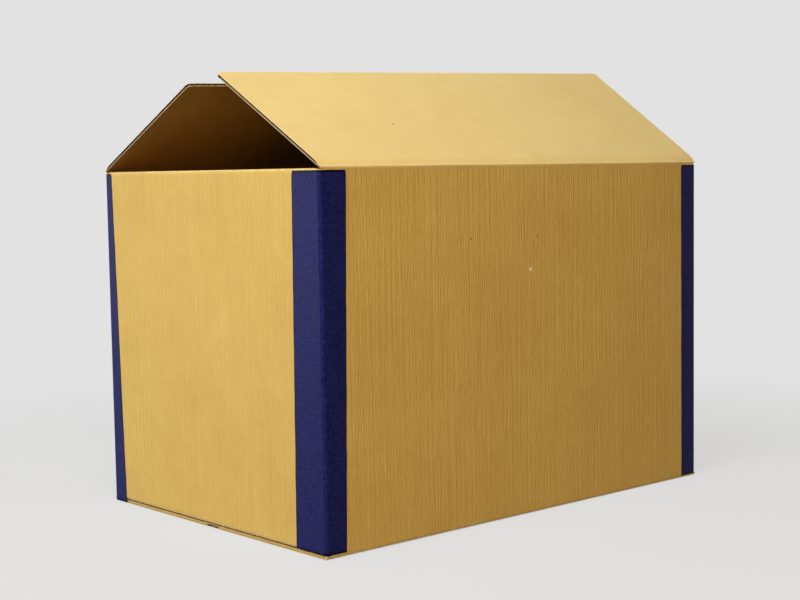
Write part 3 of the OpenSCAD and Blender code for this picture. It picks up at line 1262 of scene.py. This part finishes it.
@dataclass
class FluteWave:
    """Fluted paper between the liners, made flat by Geometry Nodes."""

    name: str
    count: int
    pitch: float
    room: float
    depth: float
    paper: float = 0.3
    segments: int = 8
    sharp: float = 50.0

    def _tree(self) -> bpy.types.GeometryNodeTree:
        """Builds the node tree.

        Returns:
            The tree: a grid bent into a wave and given its thickness.
        """
        tree = bpy.data.node_groups.new(self.name, "GeometryNodeTree")
        make = Nodes(tree)
        sizes = ("Length", "Depth", "Pitch", "Rise", "Paper", "Seed")
        kinds = {label: "Float" for label in sizes} | {"Columns": "Int", "Finish": "Material"}
        for label, kind in kinds.items():
            tree.interface.new_socket(name=label, in_out="INPUT", socket_type=f"NodeSocket{kind}")
        tree.interface.new_socket(
            name="Geometry", in_out="OUTPUT", socket_type="NodeSocketGeometry",
        )
        outputs = tree.nodes.new("NodeGroupInput").outputs
        given = {label: Sock(make, outputs[label]) for label in kinds}
        grid = make.add("GeometryNodeMeshGrid", {}, {
            "Size X": given["Length"], "Size Y": given["Depth"],
            "Vertices X": given["Columns"], "Vertices Y": 3,
        }, "Mesh")
        x = make.part(make.add("GeometryNodeInputPosition", {}, {}), "X")
        wobble = make.add(
            "ShaderNodeTexNoise", {"noise_dimensions": "4D"}, {"Scale": 60.0, "W": given["Seed"]},
        )
        angle = (x / given["Pitch"] + (wobble - 0.5) * 0.16) * math.tau
        lift = make.vector(0.0, 0.0, angle.cosine() * given["Rise"])
        shaped = make.add("GeometryNodeSetPosition", {}, {"Geometry": grid, "Offset": lift})
        thick = make.add("GeometryNodeExtrudeMesh", {}, {
            "Individual": False, "Mesh": shaped, "Offset Scale": given["Paper"],
        }, "Mesh")
        flipped = make.add("GeometryNodeFlipFaces", {}, {0: shaped})
        both = make.add("GeometryNodeJoinGeometry", {}, {0: [thick, flipped]})
        merged = make.add("GeometryNodeMergeByDistance", {}, {0: both, "Distance": 1e-6})
        real = make.add("GeometryNodeRealizeInstances", {}, {0: merged})
        finish = make.add("GeometryNodeSetMaterial", {}, {0: real, "Material": given["Finish"]})
        make.add("NodeGroupOutput", {}, {0: finish})
        return tree

    def build(self, finish: bpy.types.Material, crest_shift: bool) -> bpy.types.Object:
        """Evaluates the tree and keeps its mesh.

        Args:
            finish: the material of the fluted paper
            crest_shift: whether the wave starts half a flute on

        Returns:
            The wave as a plain mesh object, flat, from y = 0 to its depth.
        """
        tree = self._tree()
        seed_mesh = bpy.data.meshes.new(self.name)
        holder = in_scene(self.name + "_draft", seed_mesh)
        nodes = holder.modifiers.new("flutes", "NODES")
        nodes.node_group = tree
        rise = (self.room - self.paper) / 2 * MM
        given = {
            "Length": self.count * self.pitch * MM, "Depth": self.depth * MM,
            "Pitch": self.pitch * MM, "Paper": self.paper * MM,
            "Rise": -rise if crest_shift else rise,
            "Columns": self.count * self.segments + 1, "Seed": float(self.count), "Finish": finish,
        }
        for item in tree.interface.items_tree:
            if item.item_type == "SOCKET" and item.in_out == "INPUT":
                nodes[item.identifier] = given[item.name]
        seen = holder.evaluated_get(bpy.context.evaluated_depsgraph_get())
        mesh = bpy.data.meshes.new_from_object(seen)
        bpy.data.objects.remove(holder)
        mesh.name = self.name
        for vertex in mesh.vertices:
            vertex.co.y += self.depth * MM / 2
            vertex.co.z -= self.paper * MM / 2
        return skinned(self.name, mesh, self.sharp)


def flap_place(
    axis: int, sign: int, reach: float, height: float, up: int = -1, droop: float = 0.0,
) -> Place:
    """Where a folded-in flap lies.

    Args:
        axis: the way that it reaches in, 0 along X and 1 along Y
        sign: the side of the carton that it is on
        reach: how far from the carton's middle its fold is
        height: height of its inner face at the fold
        up: 1 where its outer face looks up, -1 where it looks down
        droop: how far it dips towards its free edge, in degrees

    Returns:
        A function from place across, distance from the fold and height to points.
    """
    a = math.radians(droop)

    def place(p: Array, s: Array, n: Array) -> Array:
        """Points of the flap.

        Args:
            p: place across the flutes
            s: distance from the fold
            n: height over the inner face

        Returns:
            The points.
        """
        out = sign * (reach - s * math.cos(a) + n * math.sin(a))
        z = height - s * math.sin(a) + up * n * math.cos(a)
        return stack(p, out, z) if axis else stack(out, p, z)

    return place


@dataclass
class OuterBaseFlap(Leaf):
    """An outer bottom flap, with the recess that the seam strip lies in."""

    rows: tuple[float, ...] = (
        0.0, 0.02, 0.08, 0.2, 0.35, 0.5, 0.65, 0.78, 0.872, 0.881, 0.92, 0.96, 0.985, 1.0,
    )
    groove: float = 0.9
    strip_half: float = 24.0
    strip_end: float = 294.0
    recess: float = 0.26

    def _finishes(self) -> list[bpy.types.Material]:
        """The flap's materials, with side edges that are pressed shut and as pale as the liner."""
        return [self.palette.outer, self.palette.inner, self.palette.base_edge, self.palette.core]

    def outer_at(self, p: Array, s: Array) -> Array:
        """Height of the outer face, lower under the strip.

        Args:
            p: place across the flutes
            s: distance from the fold

        Returns:
            The height over the inner face.
        """
        y = SIZE.half_w - STOCK.thick - s
        under = (y < self.strip_half + 0.5) & (np.abs(p) < self.strip_end + 0.5)
        return np.where(under, STOCK.thick - self.recess, STOCK.thick)


@dataclass
class TopFlap(Leaf):
    """A long top flap: a twisted sheet that rises from its crease, with rounded corners."""

    start_outer: float = 0.7
    start_inner: float = 2.0
    per_flute: int = 6
    rows: tuple[float, ...] = (
        0.0, 0.004, 0.01, 0.02, 0.035, 0.05, 0.08, 0.14, 0.22, 0.32, 0.42, 0.52, 0.62, 0.72,
        0.81, 0.88, 0.93, 0.96, 0.968, 0.976, 0.984, 0.99, 0.994, 0.997, 1.0,
    )
    groove: float = 0.5
    drop: float = 1.95
    rim: float = 0.06
    round_left: float = 8.0
    round_right: float = 4.0
    node: str = "front_top_flap"

    def corner_in(self, s: Array, r: float) -> Array:
        """How far a rounded corner cuts in from the side."""
        over = np.clip(s - self.length + r, 0.0, r)
        return r - np.sqrt(np.maximum(r * r - over * over, 0.0))

    def limits(self, s: Array) -> tuple[Array, Array]:
        """Where the side edges lie, drawn in at the rounded corners."""
        left, right = self.corner_in(s, self.round_left), self.corner_in(s, self.round_right)
        return self.lo + left, self.hi - right

    def outer_at(self, p: Array, s: Array) -> Array:
        """Height of the outer face over the plane through the crease."""
        return np.broadcast_to(SIZE.rise * smooth(s / SIZE.score), np.broadcast(p, s).shape)

    def inner_at(self, p: Array, s: Array) -> Array:
        """Height of the inner face."""
        return np.full(np.broadcast(p, s).shape, SIZE.rise - STOCK.thick)

    def wear_at(self, p: Array, s: Array) -> Array:
        """Wear and painted highlight: at the edges, and along the crease.

        Args:
            p: place across the flutes
            s: distance from the crease

        Returns:
            The wear.
        """
        # Paler along the crease: rubbed paper and partly a painted highlight.
        crease = 0.35 * (1.0 - smooth((s - 0.4) / 1.6))
        crush = 0.30 * (1.0 - smooth((s - 2.0) / 7.0)) * np.clip(ripple(p, s, 71, 16.0), 0.0, 1.0)
        return np.maximum(super().wear_at(p, s), np.maximum(crease, crush))

    def _finishes(self) -> list[bpy.types.Material]:
        """The flap's materials, with its smoother outer liner, which is painted paler as a
        highlight.
        """
        return [self.palette.flap, self.palette.inner, self.palette.edge, self.palette.core]

    def _dress(self, made: bpy.types.Object) -> None:
        """Fastens the flap."""
        hand_over(made, self.body, [self.node])


def top_flap_place(side: Side, tilt_left: float, tilt_right: float) -> Place:
    """Where a long top flap lies.

    Args:
        side: the side of the carton that it is on
        tilt_left: its tilt above level at the left end, in degrees
        tilt_right: its tilt at the right end

    Returns:
        A function from place across, distance from the crease and height to points.
    """
    def place(p: Array, s: Array, n: Array) -> Array:
        """Points of the flap.

        Args:
            p: place across the flutes
            s: distance from the fold
            n: height over the inner face

        Returns:
            The points.
        """
        share = (p + SIZE.half_l) / (2 * SIZE.half_l)
        a = np.radians(tilt_left + (tilt_right - tilt_left) * share)
        y = side.value * (SIZE.half_w - s * np.cos(a) + n * np.sin(a))
        return stack(p, y, SIZE.crease_z + s * np.sin(a) + n * np.cos(a))

    return place


@dataclass
class Crease:
    """The liners that bend where a long top flap meets its wall."""

    name: str
    palette: Palette
    place: Place
    side: Side
    body: Body
    seed: int
    proud: float = 0.05
    paper: float = 0.32
    outer_chart: tuple[float, ...] = (395.2, 395.8, 396.4, 396.8, 397.2, 397.6, 398.0, 398.8, 399.6)
    # Pale along the outer crease: rubbed paper and partly a painted highlight.
    outer_wear_and_highlight: tuple[float, ...] = (0.05, 0.1, 0.3, 0.5, 0.6, 0.6, 0.4, 0.2, 0.1)
    outer_bend: tuple[float, float] = (396.45, 397.35)
    inner_chart: tuple[float, ...] = (386.0, 390.0, 392.7, 394.0, 395.4, 397.0, 398.4, 401.0, 404.0)
    inner_wear: tuple[float, ...] = (0.0, 0.05, 0.2, 0.32, 0.32, 0.2, 0.12, 0.05, 0.0)
    inner_bend: tuple[float, float] = (393.0, 396.4)

    def _strip(
        self, name: str, rows: list[Array], charts: Sequence[float], inward: bool,
        wear: Sequence[float],
    ) -> bpy.types.Object:
        """Makes a bent strip from rows of points.

        Args:
            name: the piece's name
            rows: its rows of points across the crease
            charts: distance of each row along the sheet
            inward: whether the strip's paper lies on the inner side
            wear: wear of each row

        Returns:
            The strip.
        """
        face = np.stack(rows)
        along = np.gradient(face, axis=0)
        across = np.gradient(face, axis=1)
        normal = np.cross(across, along)
        normal = normal / np.linalg.norm(normal, axis=2, keepdims=True)
        probe = normal[0, 0, 1] * self.side.value
        facing = 1.0 if probe > 0 else -1.0
        turn = -facing if inward else facing
        under = face - normal * turn * self.paper
        p = face[..., 0]
        chart = np.stack([p, np.broadcast_to(np.array(charts)[:, None], p.shape)], -1)
        worn = np.broadcast_to(np.asarray(wear)[:, None], p.shape)
        if inward:
            worn = worn * np.clip(0.6 + 0.5 * ripple(p, chart[..., 1], self.seed, 20.0), 0.0, 1.0)
        draft = Draft()
        draft.sheet(face, under, chart, worn, slots=(0, 0, 0))
        liner = self.palette.inner if inward else self.palette.flap
        return draft.piece(name, [liner])

    def build(self) -> None:
        """Builds the outer and the inner strip."""
        half = SIZE.long_half - 0.3
        p = np.linspace(-half, half, 301)
        sign, y0 = self.side.value, SIZE.half_w
        rough = ripple(p, 0.0, self.seed, 9.0) * ripple(p, 0.0, self.seed + 1, 40.0)
        nick = np.clip(rough - 0.2, 0.0, 1.0) * 0.35

        def wall(z: Array | float, out: float) -> Array:
            """A row on the wall's side."""
            return stack(p, sign * (y0 + out), z)

        def flap(s: float, n: float) -> Array:
            """A row on the flap's side."""
            return self.place(p, np.full(p.shape, s), np.full(p.shape, n))

        e = self.proud
        dip = 0.7 * np.clip(ripple(p, 0.0, self.seed + 3, 150.0) + 0.4, 0.0, 1.0)
        low, high = wall(396.30 - dip, e), flap(0.75, e)
        nose = (wall(396.9 - 0.5 * dip, -0.08) + flap(0.25, 0.02)) / 2
        nose[:, 1] -= sign * nick
        nose[:, 2] -= nick * 0.5
        rows = [
            wall(395.2 - dip, 0.01), wall(395.8 - dip, e), low, (low + nose) / 2, nose,
            (nose + high) / 2, high, flap(1.5, 0.14 + e), flap(2.4, 0.33),
        ]
        rows[3][:, 1] += sign * 0.07
        rows[5][:, 2] += 0.07
        outer = self._strip(self.name + "_outer", rows, self.outer_chart, False, self.outer_wear_and_highlight)
        self._bend(outer, *self.outer_bend)
        under = SIZE.rise - STOCK.thick
        foot, mouth = wall(392.7, -STOCK.thick - e), flap(2.0, under - e)
        rows = [
            wall(386.0, -STOCK.thick - 0.02), wall(390.0, -STOCK.thick - e), foot,
            foot * 0.7 + mouth * 0.3, foot * 0.35 + mouth * 0.65, mouth,
            flap(3.4, under - e), flap(6.0, under - e), flap(9.0, under - 0.02),
        ]
        rows[3][:, 1] += sign * 0.25
        rows[4][:, 1] += sign * 0.35
        inner = self._strip(self.name + "_inner", rows, self.inner_chart, True, self.inner_wear)
        self._bend(inner, *self.inner_bend)

    def _bend(self, strip: bpy.types.Object, start: float, end: float) -> None:
        """Bakes a strip's placement into its mesh and reports it.

        Args:
            strip: the strip
            start: height up to which it would follow the carton; not used
            end: height from which it would follow the flap; not used
        """
        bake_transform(strip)
        faces = len(strip.data.polygons)
        LOG.info("%s: %d faces, bends with %s", strip.name, faces, self.body.value)


@dataclass
class GlueTab:
    """The tab that joins the sheet's two ends, inside the back right corner."""

    palette: Palette
    width: float = 35.0
    clear: float = 14.0
    bevel: float = 9.0

    def build(self) -> None:
        """Builds the tab."""
        x0 = SIZE.half_l - STOCK.thick
        y1 = SIZE.half_w - STOCK.thick
        board = Washboard(0.08, STOCK.phase, 91)
        y = board.columns(y1 - self.width, y1 - 0.15, 4)
        lo = SIZE.inner_floor + self.clear
        hi = SIZE.rim_z - STOCK.thick - self.clear
        share = np.linspace(0.0, 1.0, 14)
        cut = self.bevel * (y1 - y) / self.width
        z = (lo + cut)[None, :] * (1.0 - share[:, None]) + (hi - cut)[None, :] * share[:, None]
        grid_y = np.broadcast_to(y, z.shape)
        sink = board.sink(grid_y, z)
        rim = np.minimum(np.minimum(z - lo - cut, hi - cut - z), grid_y - y[0])
        sink = sink + 0.6 * (1.0 - smooth(rim / 2.5))
        face = stack(np.full(z.shape, x0 - STOCK.thick) + sink, grid_y, z)
        hidden = stack(np.full(z.shape, x0), grid_y, z)
        chart = np.stack([grid_y + NEXT_SHEET, z], -1)
        wear = 0.4 * (1.0 - smooth(rim / 2.0))
        draft = Draft()
        draft.sheet(face, hidden, chart, wear, slots=(1, 1, 2))
        made = draft.piece("carton_glue_tab", self.palette.board())
        hand_over(made, Body.CARTON, ["carton"])


@dataclass
class CornerTape:
    """Cloth tape folded round one upright corner."""

    name: str
    palette: Palette
    end: End
    side: Side
    short_top: float
    short_bottom: float
    long_top: float
    long_bottom: float
    foot: float
    seed: int
    cloth: float = 0.3
    head: float = 393.0
    bevel: float = 2.0
    rows: int = 120
    leg: int = 20
    turns: int = 7
    wander: float = 0.22
    fold_at: float = 3.0
    fold_half: float = 0.8
    fold_painted_highlight: float = 0.26
    rim_shade: float = 0.9
    rim_thin: float = 0.16
    wrinkle: float = 0.28

    def build(self) -> None:
        """Builds the tape."""
        t = STOCK.thick
        share = np.linspace(0.0, 1.0, self.rows)
        z = self.foot + (self.head - self.foot) * share
        cut = self.bevel * 0.6 * smooth((z - self.head + self.bevel) / self.bevel)
        short = self.short_bottom + (self.short_top - self.short_bottom) * share - cut
        long = self.long_bottom + (self.long_top - self.long_bottom) * share - cut
        short = short + ripple(z, 0.0, self.seed, 34.0) * self.wander
        long = long + ripple(z, 0.0, self.seed + 1, 34.0) * self.wander
        legs = np.linspace(0.0, 1.0, self.leg)
        short_at = t + (short - t)[:, None] * legs[::-1]
        long_at = t + (long - t)[:, None] * legs
        angles = np.linspace(0.0, math.pi / 2, self.turns + 2)[1:-1]
        angles = np.broadcast_to(angles, (self.rows, self.turns))
        bend = t + self.cloth
        flat = np.concatenate([t - short_at, angles * bend, bend * math.pi / 2 + (long_at - t)], 1)
        crumple = self._crumple(flat, z)

        def skin(out: float, raised: Array) -> Array:
            """A face of the tape.

            Args:
                out: distance out of the walls
                raised: how much farther out each point is

            Returns:
                Its points.
            """
            reach = out + raised
            ring = t + reach[:, self.leg:self.leg + self.turns]
            x = [-SIZE.half_l - reach[:, :self.leg], t - SIZE.half_l - ring * np.cos(angles),
                 -SIZE.half_l + long_at]
            y = [-SIZE.half_w + short_at, t - SIZE.half_w - ring * np.sin(angles),
                 -SIZE.half_w - reach[:, self.leg + self.turns:]]
            made = stack(np.concatenate(x, 1), np.concatenate(y, 1), z[:, None])
            return made * [-self.end.value, -self.side.value, 1.0]

        edge = np.minimum(flat - flat[:, :1], flat[:, -1:] - flat)
        edge = np.minimum(edge, np.minimum(z - self.foot, self.head - z)[:, None])
        fold = np.exp(-(((flat - self.fold_at) / self.fold_half) ** 2))
        # A paler line along the fold is a painted highlight, and the darker rims are painted shade
        # along the tape's edges.
        wear = self.fold_painted_highlight * fold - self.rim_shade * (1.0 - smooth(edge / 1.3))
        thin = self.cloth - self.rim_thin * (1.0 - smooth(edge / 0.7))
        chart = np.stack(np.broadcast_arrays(flat, z[:, None]), -1)
        draft = Draft()
        outer, inner = skin(0.0, thin + crumple), skin(0.01, crumple * 0.0)
        draft.sheet(outer, inner, chart, wear, slots=(0, 0, 0))
        made = draft.piece(self.name + "_cloth", [self.palette.cloth])
        hand_over(made, Body.CARTON, [self.name])

    def _crumple(self, flat: Array, z: Array) -> Array:
        """Works out the cloth's faint wrinkles.

        Args:
            flat: place across the tape
            z: height of each row

        Returns:
            How far the cloth stands off.
        """
        waves = ripple(flat, z[:, None] * 1.6, self.seed + 7, 26.0)
        spots = ripple(flat, z[:, None], self.seed + 9, 90.0)
        return np.clip(waves - 0.35, 0.0, 1.0) * np.clip(spots, 0.0, 1.0) * self.wrinkle


@dataclass
class SeamTape:
    """Paper tape under the seam between the outer bottom flaps."""

    palette: Palette
    half_l: float = 294.0
    half_w: float = 24.0
    paper: float = 0.2

    def build(self) -> None:
        """Builds the strip, with torn ends."""
        x = np.linspace(-1.0, 1.0, 150)
        y = np.linspace(-self.half_w, self.half_w, 49)
        torn = np.abs(((y / 2.0) % 2.0) - 1.0) * 0.9
        reach = self.half_l - torn
        gx = x[:, None] * reach[None, :]
        gy = np.broadcast_to(y, gx.shape)
        sag = 0.05 * np.exp(-((gy / 1.2) ** 2))
        bottom = stack(gx, gy, sag)
        top = stack(gx, gy, np.full(gx.shape, self.paper))
        chart = np.stack([gy, gx], -1)
        draft = Draft()
        draft.sheet(bottom, top, chart, slots=(0, 0, 0))
        made = draft.piece("bottom_seam_strip", [self.palette.paper])
        hand_over(made, Body.CARTON, ["bottom_seam_tape"])


@dataclass(frozen=True)
class Lamp:
    """A square soft lamp that looks at the carton's middle."""

    name: str
    spot: tuple[float, float, float]
    watts: float
    width: float
    colour: tuple[float, float, float] = (1.0, 1.0, 1.0)
    aim: tuple[float, float, float] = (0.0, 0.0, 0.22)

    def build(self) -> None:
        """Adds the lamp."""
        data = bpy.data.lights.new(self.name, "AREA")
        data.energy = self.watts
        data.color = self.colour
        data.size = self.width
        lamp = in_scene(self.name, data)
        lamp.location = self.spot
        away = Vector(self.spot) - Vector(self.aim)
        lamp.rotation_mode = "QUATERNION"
        lamp.rotation_quaternion = away.to_track_quat("Z", "Y")
        lamp.visible_camera = False


@dataclass
class Studio:
    """Plain pale floor, soft light and the camera at the photograph's angle."""

    lens: float = 67.481
    sensor: float = 36.0
    turn: tuple[float, float, float] = (85.14209, 0.92167, -41.59585)
    spot: tuple[float, float, float] = (-1.226077, -1.367235, 0.389235)
    backdrop: Colour = srgb(226, 226, 226)
    ambient: float = 0.03
    floor_reach: float = 60.0
    floor_drop: float = 0.0004
    lamps: tuple[Lamp, ...] = (
        Lamp("key", (-2.2, -0.7, 1.3), 22.0, 1.2),
        Lamp("top", (-0.7, -0.45, 2.0), 22.5, 1.0, (0.94, 1.0, 1.0)),
        Lamp("front", (-1.4, -2.1, 1.2), 27.0, 1.6, (1.0, 0.64, 0.30)),
        Lamp("left", (-1.8, 1.65, 0.42), 21.0, 1.0),
        Lamp("back", (1.7, 2.3, 0.8), 26.0, 2.0),
    )

    def build(self) -> None:
        """Builds the floor, the world, the lamps and the camera."""
        self._floor()
        self._world()
        for lamp in self.lamps:
            lamp.build()
        self._camera()
        bpy.context.scene.view_settings.view_transform = "Standard"

    def _floor(self) -> None:
        """Adds the floor."""
        mesh = bpy.data.meshes.new("studio_floor")
        turns = np.linspace(0.0, math.tau, 64, endpoint=False)
        reach = self.floor_reach
        ring = [(reach * math.cos(a), reach * math.sin(a), 0.0) for a in turns]
        mesh.from_pydata(ring, [], [tuple(range(len(ring)))])
        mesh.materials.append(FloorFinish("studio_floor", self.backdrop).material())
        floor = in_scene("studio_floor", mesh)
        floor.location.z = -self.floor_drop

    def _world(self) -> None:
        """Sets the backdrop that the camera sees and the dimmer light that the object gets."""
        world = bpy.data.worlds.new("studio")
        bpy.context.scene.world = world
        shade = Shade(world)
        white = (1.0, 1.0, 1.0, 1.0)
        lit = shade.add("ShaderNodeBackground", {}, {"Color": white, "Strength": self.ambient})
        seen = shade.add("ShaderNodeBackground", {}, {"Color": self.backdrop, "Strength": 1.0})
        mixed = shade.add("ShaderNodeMixShader", {}, {0: shade.seen(), 1: lit, 2: seen})
        shade.add("ShaderNodeOutputWorld", {}, {"Surface": mixed})

    def _camera(self) -> None:
        """Adds the camera."""
        data = bpy.data.cameras.new("camera")
        data.lens = self.lens
        data.sensor_width = self.sensor
        data.clip_start, data.clip_end = 0.02, 200.0
        camera = in_scene("camera", data)
        camera.location = self.spot
        camera.rotation_euler = Euler([math.radians(a) for a in self.turn])
        bpy.context.scene.camera = camera


def main() -> None:
    """Builds the carton and the studio in order."""
    logging.basicConfig(level=logging.INFO, format="%(message)s")
    palette = Palette()
    Walls(palette).build()
    t, short, long = STOCK.thick, SIZE.short_half, SIZE.long_half
    top_l, base_l = SIZE.flap_d - t, SIZE.base_flap_d - t
    for end in End:
        sign, which = end.value, end.name.lower()
        place = flap_place(0, sign, SIZE.half_l - t, SIZE.rim_z - t, 1, SIZE.droop)
        name = f"carton_short_top_flap_{which}"
        Leaf(name, palette, place, -short, short, top_l, 100 + sign).build()
        place = flap_place(0, sign, SIZE.half_l - t, SIZE.inner_floor)
        name = f"carton_inner_bottom_flap_{which}"
        Leaf(name, palette, place, -short, short, base_l, 120 + sign).build()
    for side in Side:
        place = flap_place(1, side.value, SIZE.half_w - t, t)
        name = f"carton_outer_bottom_flap_{side.name.lower()}"
        OuterBaseFlap(name, palette, place, -long, long, base_l, 140 + side.value).build()
    GlueTab(palette).build()
    for side, body, tilts, rounds in (
        (Side.FRONT, Body.FRONT, (30.0, 35.4), (8.0, 4.0)),
        (Side.BACK, Body.BACK, (27.0, 32.0), (5.0, 5.0)),
    ):
        which = side.name.lower()
        place = top_flap_place(side, *tilts)
        TopFlap(
            f"{which}_flap_board", palette, place, -long, long, SIZE.flap_d, 160 + side.value,
            body=body, chart_shift=0.0 if side is Side.FRONT else NEXT_SHEET,
            round_left=rounds[0], round_right=rounds[1], node=f"{which}_top_flap",
        ).build()
        Crease(f"{which}_flap_crease", palette, place, side, body, 300 + side.value * 7).build()
    for end, side, reach, seed in (
        (End.LEFT, Side.FRONT, (45, 50, 34, 26, 4.5), 500),
        (End.RIGHT, Side.FRONT, (50, 51, 28, 27, 3), 520),
        (End.LEFT, Side.BACK, (14, 26, 64, 52, 0.5), 540),
        (End.RIGHT, Side.BACK, (39, 37, 39, 41, 4), 560),
    ):
        name = f"corner_tape_{side.name.lower()}_{end.name.lower()}"
        CornerTape(name, palette, end, side, *reach, seed=seed).build()
    SeamTape(palette).build()
    Studio().build()


if __name__ == "__main__":
    main()
